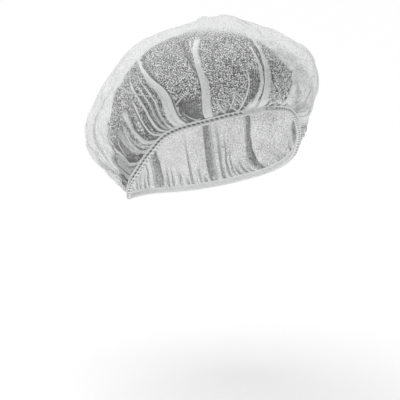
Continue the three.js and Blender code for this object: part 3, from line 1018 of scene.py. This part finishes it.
def cloth_material():
    material, nodes, links = new_material("nonwoven_cloth")

    def number(operation, *values):
        return number_node(nodes, links, operation, *values)

    def vector(*values):
        node = nodes.new("ShaderNodeCombineXYZ")
        for socket, value in zip(node.inputs, values):
            links.new(value, socket)
        return node.outputs["Vector"]

    def pattern(kind, size, place):
        node = nodes.new(kind)
        node.inputs["Scale"].default_value = 1 / size
        links.new(place, node.inputs["Vector"])
        return node

    def clamped(value, low, high):
        """Value stretched so that low becomes 0 and high becomes 1, and kept between them."""
        node = nodes.new("ShaderNodeMapRange")
        node.inputs["From Min"].default_value = low
        node.inputs["From Max"].default_value = high
        links.new(value, node.inputs["Value"])
        return node.outputs["Result"]

    crease, under, stack, shade, close, gathered, crinkled, flat_x, flat_y, climb = [
        read_attribute(nodes, name) for name in painted_notes
    ]
    # Every layer of a pleat shows another part of the cloth
    moved = nodes.new("ShaderNodeVectorMath")
    links.new(nodes.new("ShaderNodeTexCoord").outputs["Object"], moved.inputs[0])
    shifts = [number("MULTIPLY", under, shift) for shift in layer_shift]
    links.new(vector(*shifts), moved.inputs[1])
    place = moved.outputs["Vector"]

    # Fine mottle of dense and thin places, strongest where the cloth lies close and single, where
    # its thin places are darkened with painted shade of the hollow behind them
    fibre = pattern("ShaderNodeTexNoise", speck_size, place)
    fibre.inputs["Detail"].default_value = 3
    speck = clamped(fibre.outputs["Fac"], 0.44, 0.56)
    strands = pattern("ShaderNodeTexNoise", strand_size, place)
    strands.inputs["Distortion"].default_value = 2
    strand = number("SUBTRACT", strands.outputs["Fac"], 0.5)
    clouds = pattern("ShaderNodeTexNoise", cloud_size, place)
    clouds.inputs["Detail"].default_value = 2
    cloud = clamped(clouds.outputs["Fac"], 0.3, 0.7)

    # Creases that run up from the gathered edge, drawn out along the folds, with painted highlights
    # on their crests and painted shade between them
    along = vector(flat_x, flat_y, number("MULTIPLY", climb, streak_stretch))
    streaks = pattern("ShaderNodeTexNoise", streak_size, along)
    streaks.inputs["Detail"].default_value = 1
    streak = number("SUBTRACT", clamped(streaks.outputs["Fac"], 0.36, 0.64), 0.5)
    painted_streak_highlight = clamped(number("ABSOLUTE", streak), 0.14, 0.0)
    painted_streak_highlight = number("MULTIPLY", painted_streak_highlight, gathered)

    # Crushed facets of the slack cloth, with painted highlights along their edges and where they
    # face two ways
    facets = pattern("ShaderNodeTexVoronoi", facet_size, place)
    facets.feature = "DISTANCE_TO_EDGE"
    facet_edge_highlight = clamped(facets.outputs["Distance"], 0.06, 0.0)
    crush = pattern("ShaderNodeTexNoise", crush_size, place)
    crush_and_highlight = clamped(crush.outputs["Fac"], 0.5, 0.62)
    crush_and_highlight = number("MAXIMUM", number("MULTIPLY", facet_edge_highlight, 0.6), crush_and_highlight)
    crush_and_highlight = number("MULTIPLY", crush_and_highlight, crinkled)

    doubled = number("MAXIMUM", stack, crease)
    single = number("SUBTRACT", 1.0, number("MULTIPLY", doubled, 0.85))
    gap = number("SUBTRACT", 1.0, speck)
    # Painted shade of the hollow behind, in the thin places where the cloth lies close and single
    thin_painted_shade = number("MULTIPLY", gap, number("MULTIPLY", close, single))
    clouded = number("MULTIPLY", number("SUBTRACT", cloud, 0.5), close)
    # Painted light and shade of the gathers: lighter on their crests, darker between them
    painted_streak_light_and_shade = number("MULTIPLY", streak, gathered)
    holes = number("MULTIPLY", number("SUBTRACT", speck, 0.5), number("SUBTRACT", 1.0, close))

    # How much each of these lightens or darkens the cloth, and how much denser it makes it
    tone = number("MULTIPLY_ADD", climb, -0.2, 0.955)
    for trait, share in [
        (thin_painted_shade, -1.08), (close, 0.03), (gap, -0.12), (clouded, -0.12), (painted_streak_light_and_shade, 0.5),
        (shade, -0.7), (strand, 0.35), (painted_streak_highlight, 0.4), (crease, 0.25), (crush_and_highlight, 0.22), (stack, 0.11),
    ]:
        tone = number("MULTIPLY_ADD", trait, share, tone)
    colour = ramp_node(nodes, links, tone, [
        (0.08, (0.08, 0.08, 0.082)),
        (0.95, (0.93, 0.935, 0.94)),
    ])
    density = number("MULTIPLY_ADD", close, 0.46, 0.38)
    for trait, share in [
        (crinkled, -0.18), (holes, 0.3), (cloud, 0.16), (doubled, 0.3), (crush_and_highlight, 0.3),
    ]:
        density = number("MULTIPLY_ADD", trait, share, density)
    density = number("MINIMUM", density, 1.0)

    creased = number("MULTIPLY", streaks.outputs["Fac"], gathered)
    flutes = grain_node(nodes, links, creased, 0.6, 0.8 * mm)
    grain = grain_node(nodes, links, fibre.outputs["Fac"], 0.35, 0.15 * mm)
    links.new(flutes.outputs["Normal"], grain.inputs["Normal"])
    through = nodes.new("ShaderNodeBsdfTranslucent")
    links.new(colour, through.inputs["Color"])
    body = nodes.new("ShaderNodeMixShader")
    body.inputs["Fac"].default_value = 0.2
    surface = dry_surface(nodes, links, colour, grain, roughness=0.7, sheen=0.15)
    links.new(surface, body.inputs[1])
    links.new(through.outputs["BSDF"], body.inputs[2])
    clear = nodes.new("ShaderNodeBsdfTransparent")
    whole = nodes.new("ShaderNodeMixShader")
    links.new(density, whole.inputs["Fac"])
    links.new(clear.outputs["BSDF"], whole.inputs[1])
    links.new(body.outputs["Shader"], whole.inputs[2])
    end_material(nodes, links, whole.outputs["Shader"])
    return material


def make_crown():
    full = np.arange(column_count)
    parts = [
        cloth_points(full, climbs),
        cloth_points(full[::2], top_climbs),
        cloth_points(full[::4], last_climbs),
        cloth_points(full[:1], np.array([1.0])),
    ]
    points = np.concatenate([part[0].reshape(-1, 3) for part in parts])
    rings = []
    first = 0
    for part in parts[:3]:
        rows, columns = part[0].shape[:2]
        rings += list(first + np.arange(rows * columns).reshape(rows, columns))
        first += rows * columns
    faces = [face for low, high in zip(rings, rings[1:]) for face in ring_faces(low, high)]
    top = rings[-1]
    faces += [[int(top[k]), int(top[(k + 1) % len(top)]), first] for k in range(len(top))]
    piece = mesh_object("crown_cloth", points, faces, cloth_material())
    for name in painted_notes:
        paint(piece, name, np.concatenate([part[1][name].ravel() for part in parts]))
    return piece


crown_piece = make_crown()
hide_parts("crown")
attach(crown_piece, "root")

# Sharp folds
# Where the loose cloth of the crown is pressed or pulled flat, thin sharp folds of the same
# cloth run across it. They belong to the crown's disc and lie just over its surface.

# Foot and climb of both ends, and width in mm
sharp_fold_columns = ["foot", "climb", "end_foot", "end_climb", "width"]
sharp_folds = [
    [315, 0.315, 321, 0.385, 1.5],
    [317, 0.26, 322.5, 0.07, 1.7],
    [313, 0.04, 324, 0.15, 1.4],
    [335, 0.28, 344.5, 0.04, 2.2],
    [331, 0.3, 337, 0.04, 2.2],
    [337, 0.3, 347, 0.13, 1.3],
    [326, 0.35, 326.8, 0.07, 1.3],
    [292.5, 0.39, 288.5, 0.04, 3.2],
    [287.5, 0.355, 285.5, 0.26, 1.6],
    [296, 0.55, 307.3, 0.41, 1.4],
    [307.3, 0.41, 304, 0.05, 1.4],
    [20, 0.675, 23, 0.585, 1.6],
    [23, 0.585, 31.5, 0.475, 1.6],
    [8.5, 0.51, 17, 0.47, 1.4],
    [8, 0.375, 18.5, 0.46, 1.4],
    [15, 0.33, 29, 0.43, 1.3],
    [12, 0.6, 20, 0.5, 1.3],
    [276, 0.45, 280, 0.36, 1.5],
    [280, 0.36, 275, 0.33, 1.3],
    [268, 0.3, 276, 0.34, 1.3],
]
sharp_fold_height = 1.1 * mm
sharp_fold_lift = 0.5 * mm
sharp_fold_steps = 16


def make_sharp_folds(material):
    points, faces = [], []
    for row in sharp_folds:
        fold = dict(zip(sharp_fold_columns, row))
        t = np.linspace(0, 1, sharp_fold_steps)
        foot = fold["foot"] + (fold["end_foot"] - fold["foot"]) * t
        climb = fold["climb"] + (fold["end_climb"] - fold["climb"]) * t
        middle, normal = on_cloth(foot, climb, sharp_fold_lift)[:2]
        side = unit(np.cross(np.gradient(middle, axis=0), normal))
        taper = np.sqrt(np.sin(np.pi * np.clip(t, 0.02, 0.98)))[:, None]
        half = side * fold["width"] / 2 * mm * taper
        first = len(points) * sharp_fold_steps
        points += [middle - half, middle + normal * sharp_fold_height * taper, middle + half]
        for lane in (0, 1):
            low = first + lane * sharp_fold_steps + np.arange(sharp_fold_steps - 1)
            high = low + sharp_fold_steps
            faces += np.stack([low, low + 1, high + 1, high], axis=-1).tolist()
    piece = mesh_object("sharp_folds", np.concatenate(points), faces, material)
    bright = {"crease": 1, "stack": 1}
    for name in painted_notes:
        paint(piece, name, np.full(len(points) * sharp_fold_steps, bright.get(name, 0)))
    return piece


sharp_piece = make_sharp_folds(crown_piece.data.materials[0])
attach(sharp_piece, "root")

# Studio
# A pale floor well below the cap, a white surround and two broad soft lights. The camera stands
# at the photograph's angle, a little to the side of the middle and below it.
camera_azimuth = math.radians(-38)
camera_elevation = math.radians(10)
camera_distance = 1.8
camera_lens = 170.5
aim_aside = 1.9 * mm
aim_below = 45.4 * mm
toward = Vector((
    math.sin(camera_azimuth) * math.cos(camera_elevation),
    -math.cos(camera_azimuth) * math.cos(camera_elevation),
    math.sin(camera_elevation),
))
right = Vector((math.cos(camera_azimuth), math.sin(camera_azimuth), 0))
camera_up = toward.cross(right)
camera = bpy.data.objects.new("camera", bpy.data.cameras.new("camera"))
bpy.context.collection.objects.link(camera)
camera.data.lens = camera_lens
camera.data.sensor_width = 36
camera.location = toward * camera_distance - right * aim_aside - camera_up * aim_below
camera.rotation_euler = toward.to_track_quat("Z", "Y").to_euler()
bpy.context.scene.camera = camera

floor_height = -235 * mm
floor_radius = 14.0
floor_sides = 96
turns = np.radians(np.arange(floor_sides) * 360 / floor_sides)
floor_x, floor_y = floor_radius * np.cos(turns), floor_radius * np.sin(turns)
disc = np.stack([floor_x, floor_y, np.full(floor_sides, floor_height)], axis=-1)
floor_material, nodes, links = new_material("floor")
floor_shader = nodes.new("ShaderNodeBsdfPrincipled")
floor_shader.inputs["Base Color"].default_value = (0.91, 0.91, 0.91, 1)
floor_shader.inputs["Roughness"].default_value = 0.9
links.new(floor_shader.outputs["BSDF"], nodes.new("ShaderNodeOutputMaterial").inputs["Surface"])
floor = mesh_object("floor", disc, [list(range(floor_sides))], floor_material)

world = bpy.data.worlds.new("studio")
bpy.context.scene.world = world
world.use_nodes = True
world.node_tree.nodes["Background"].inputs["Color"].default_value = (1, 1, 1, 1)
world.node_tree.nodes["Background"].inputs["Strength"].default_value = 0.3


def soft_light(name, azimuth, elevation, spread, strength):
    """Light from a broad soft source far away, azimuth as the camera's."""
    lamp = bpy.data.lights.new(name, "SUN")
    lamp.angle = math.radians(spread)
    lamp.energy = strength
    holder = bpy.data.objects.new(name, lamp)
    turn, rise = math.radians(azimuth), math.radians(elevation)
    level = math.cos(rise)
    source = Vector((math.sin(turn) * level, -math.cos(turn) * level, math.sin(rise)))
    holder.rotation_euler = source.to_track_quat("Z", "Y").to_euler()
    bpy.context.collection.objects.link(holder)


soft_light("back light", 175, 55, 60, 1.7)
soft_light("top light", -80, 75, 50, 1.2)
bpy.context.scene.view_settings.view_transform = "Standard"
